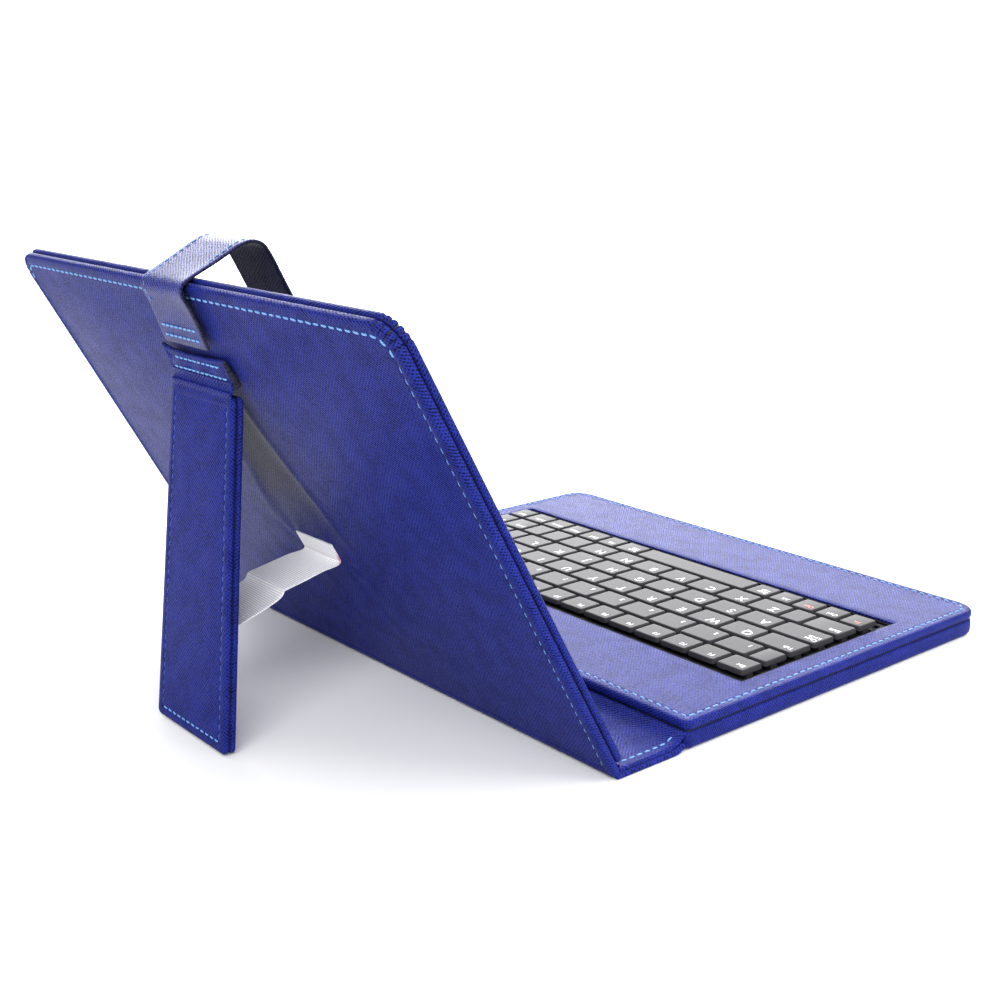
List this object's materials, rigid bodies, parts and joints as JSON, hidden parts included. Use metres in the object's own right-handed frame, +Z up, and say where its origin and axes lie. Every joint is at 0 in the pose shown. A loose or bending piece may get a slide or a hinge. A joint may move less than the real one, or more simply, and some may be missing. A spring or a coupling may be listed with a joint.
{
  "type": "tablet keyboard case",
  "caption": "Folding leather case with a built-in keyboard, spine, tablet panel with corner clips, closure strap and a ribbon-tethered kickstand.",
  "frame": {"origin": "middle of the keyboard base's flat underside, on the surface that the case stands on", "axes": "+Z up, +Y from the typist to the tablet panel, +X to the typist's right"},
  "size_m": [0.27, 0.3314, 0.19],
  "materials": {
    "blue_leather": "cross-hatched embossed polyurethane leather, satin",
    "grey_board": "dark grey bookbinding board, matt",
    "black_plastic": "moulded ABS, fine satin",
    "key_plastic": "moulded ABS key caps, matt, printed legends",
    "ribbon": "ribbed grosgrain ribbon",
    "magnet_steel": "nickel-plated",
    "silicone": "translucent silicone, matt",
    "film": "clear polyester film",
    "circuit": "green solder mask",
    "gland_rubber": "moulded rubber, matt"
  },
  "bodies": {
    "keyboard_base": {"base_cover": "blue_leather", "base_board": "grey_board", "base_magnet": "magnet_steel", "deck_board": "grey_board", "deck_cover": "blue_leather", "controller_board": "circuit", "cable_gland": "gland_rubber", "keyboard_case": "black_plastic", "key_membrane": "film", "dome_sheet": "silicone", "key_plate": "black_plastic", "key_bezel": "black_plastic", "keyboard_fold": "blue_leather"},
    "spine": {"spine_cover": "blue_leather", "spine_board": "grey_board", "spine_lining": "blue_leather", "cover_fold": "blue_leather"},
    "tablet_panel": {"back_cover": "blue_leather", "back_board": "grey_board", "front_board": "grey_board", "front_cover": "blue_leather", "kickstand_tab": "blue_leather", "kickstand_fold": "blue_leather", "tether_ribbon": "ribbon", "lower_clip_left": "black_plastic", "lower_clip_right": "black_plastic", "clip_track_left": "black_plastic", "clip_track_right": "black_plastic", "clip_spring_left": "magnet_steel", "clip_spring_right": "magnet_steel", "strap_base": "blue_leather", "strap_root_fold": "blue_leather"},
    "kickstand": {"kickstand_outer": "blue_leather", "kickstand_board": "grey_board", "kickstand_inner": "blue_leather"},
    "strap_arch": {"strap_arch": "blue_leather", "strap_tip_fold": "blue_leather"},
    "strap_tip": {"strap_tip": "blue_leather", "strap_magnet": "magnet_steel"},
    "clip_slider_left": {"upper_clip_left": "black_plastic"},
    "clip_slider_right": {"upper_clip_right": "black_plastic"},
    "escape_key": {"escape_key": "key_plastic"},
    "function_key_group": {"function_keys": "key_plastic"},
    "number_key_group": {"number_keys": "key_plastic"},
    "backspace_key": {"backspace_key": "key_plastic"},
    "tab_key": {"tab_key": "key_plastic"},
    "upper_letter_key_group": {"upper_letter_keys": "key_plastic"},
    "caps_lock_key": {"caps_lock_key": "key_plastic"},
    "home_letter_key_group": {"home_letter_keys": "key_plastic"},
    "enter_key": {"enter_key": "key_plastic"},
    "left_shift_key": {"left_shift_key": "key_plastic"},
    "lower_letter_key_group": {"lower_letter_keys": "key_plastic"},
    "up_arrow_key": {"up_arrow_key": "key_plastic"},
    "right_shift_key": {"right_shift_key": "key_plastic"},
    "left_modifier_key_group": {"left_modifier_keys": "key_plastic"},
    "space_key": {"space_key": "key_plastic"},
    "right_modifier_key_group": {"right_modifier_keys": "key_plastic"},
    "left_arrow_key": {"left_arrow_key": "key_plastic"},
    "down_arrow_key": {"down_arrow_key": "key_plastic"},
    "right_arrow_key": {"right_arrow_key": "key_plastic"}
  },
  "joints": [
    {"name": "spine_hinge", "type": "hinge", "parent": "keyboard_base", "child": "spine", "pos_m": [0, 0.1015, 0.0006], "axis": [1, 0, 0], "range_deg": [0, 90], "deforming": ["keyboard_fold"]},
    {"name": "cover_hinge", "type": "hinge", "parent": "spine", "child": "tablet_panel", "pos_m": [0, 0.1333, 0.0006], "axis": [1, 0, 0], "range_deg": [-61, 29], "deforming": ["cover_fold"]},
    {"name": "kickstand_hinge", "type": "hinge", "parent": "tablet_panel", "child": "kickstand", "pos_m": [0, 0.2189, 0.13515], "axis": [-1, 0, 0], "range_deg": [0, 33], "deforming": ["kickstand_fold", "tether_ribbon"]},
    {"name": "strap_root_hinge", "type": "hinge", "parent": "tablet_panel", "child": "strap_arch", "pos_m": [0, 0.23116, 0.16983], "axis": [-1, 0, 0], "range_deg": [0, 120], "deforming": ["strap_root_fold"]},
    {"name": "strap_tip_hinge", "type": "hinge", "parent": "strap_arch", "child": "strap_tip", "pos_m": [0, 0.19787, 0.18508], "axis": [-1, 0, 0], "range_deg": [0, 65], "deforming": ["strap_tip_fold"]},
    {"name": "clip_slide_left", "type": "slide", "parent": "tablet_panel", "child": "clip_slider_left", "axis": [0, 0.4848, 0.8746], "range_m": [0, 0.012], "stiffness_N_per_m": 150, "deforming": ["clip_spring_left"]},
    {"name": "clip_slide_right", "type": "slide", "parent": "tablet_panel", "child": "clip_slider_right", "axis": [0, 0.4848, 0.8746], "range_m": [0, 0.012], "stiffness_N_per_m": 150, "deforming": ["clip_spring_right"]},
    {"name": "escape_key_press", "type": "slide", "parent": "keyboard_base", "child": "escape_key", "axis": [0, 0, -1], "range_m": [0, 0.0014], "stiffness_N_per_m": 350},
    {"name": "function_key_group_press", "type": "slide", "parent": "keyboard_base", "child": "function_key_group", "axis": [0, 0, -1], "range_m": [0, 0.0014], "stiffness_N_per_m": 900},
    {"name": "number_key_group_press", "type": "slide", "parent": "keyboard_base", "child": "number_key_group", "axis": [0, 0, -1], "range_m": [0, 0.0014], "stiffness_N_per_m": 900},
    {"name": "backspace_key_press", "type": "slide", "parent": "keyboard_base", "child": "backspace_key", "axis": [0, 0, -1], "range_m": [0, 0.0014], "stiffness_N_per_m": 350},
    {"name": "tab_key_press", "type": "slide", "parent": "keyboard_base", "child": "tab_key", "axis": [0, 0, -1], "range_m": [0, 0.0014], "stiffness_N_per_m": 350},
    {"name": "upper_letter_key_group_press", "type": "slide", "parent": "keyboard_base", "child": "upper_letter_key_group", "axis": [0, 0, -1], "range_m": [0, 0.0014], "stiffness_N_per_m": 900},
    {"name": "caps_lock_key_press", "type": "slide", "parent": "keyboard_base", "child": "caps_lock_key", "axis": [0, 0, -1], "range_m": [0, 0.0014], "stiffness_N_per_m": 350},
    {"name": "home_letter_key_group_press", "type": "slide", "parent": "keyboard_base", "child": "home_letter_key_group", "axis": [0, 0, -1], "range_m": [0, 0.0014], "stiffness_N_per_m": 900},
    {"name": "enter_key_press", "type": "slide", "parent": "keyboard_base", "child": "enter_key", "axis": [0, 0, -1], "range_m": [0, 0.0014], "stiffness_N_per_m": 350},
    {"name": "left_shift_key_press", "type": "slide", "parent": "keyboard_base", "child": "left_shift_key", "axis": [0, 0, -1], "range_m": [0, 0.0014], "stiffness_N_per_m": 350},
    {"name": "lower_letter_key_group_press", "type": "slide", "parent": "keyboard_base", "child": "lower_letter_key_group", "axis": [0, 0, -1], "range_m": [0, 0.0014], "stiffness_N_per_m": 900},
    {"name": "up_arrow_key_press", "type": "slide", "parent": "keyboard_base", "child": "up_arrow_key", "axis": [0, 0, -1], "range_m": [0, 0.0014], "stiffness_N_per_m": 350},
    {"name": "right_shift_key_press", "type": "slide", "parent": "keyboard_base", "child": "right_shift_key", "axis": [0, 0, -1], "range_m": [0, 0.0014], "stiffness_N_per_m": 350},
    {"name": "left_modifier_key_group_press", "type": "slide", "parent": "keyboard_base", "child": "left_modifier_key_group", "axis": [0, 0, -1], "range_m": [0, 0.0014], "stiffness_N_per_m": 900},
    {"name": "space_key_press", "type": "slide", "parent": "keyboard_base", "child": "space_key", "axis": [0, 0, -1], "range_m": [0, 0.0014], "stiffness_N_per_m": 350},
    {"name": "right_modifier_key_group_press", "type": "slide", "parent": "keyboard_base", "child": "right_modifier_key_group", "axis": [0, 0, -1], "range_m": [0, 0.0014], "stiffness_N_per_m": 900},
    {"name": "left_arrow_key_press", "type": "slide", "parent": "keyboard_base", "child": "left_arrow_key", "axis": [0, 0, -1], "range_m": [0, 0.0014], "stiffness_N_per_m": 350},
    {"name": "down_arrow_key_press", "type": "slide", "parent": "keyboard_base", "child": "down_arrow_key", "axis": [0, 0, -1], "range_m": [0, 0.0014], "stiffness_N_per_m": 350},
    {"name": "right_arrow_key_press", "type": "slide", "parent": "keyboard_base", "child": "right_arrow_key", "axis": [0, 0, -1], "range_m": [0, 0.0014], "stiffness_N_per_m": 350}
  ]
}
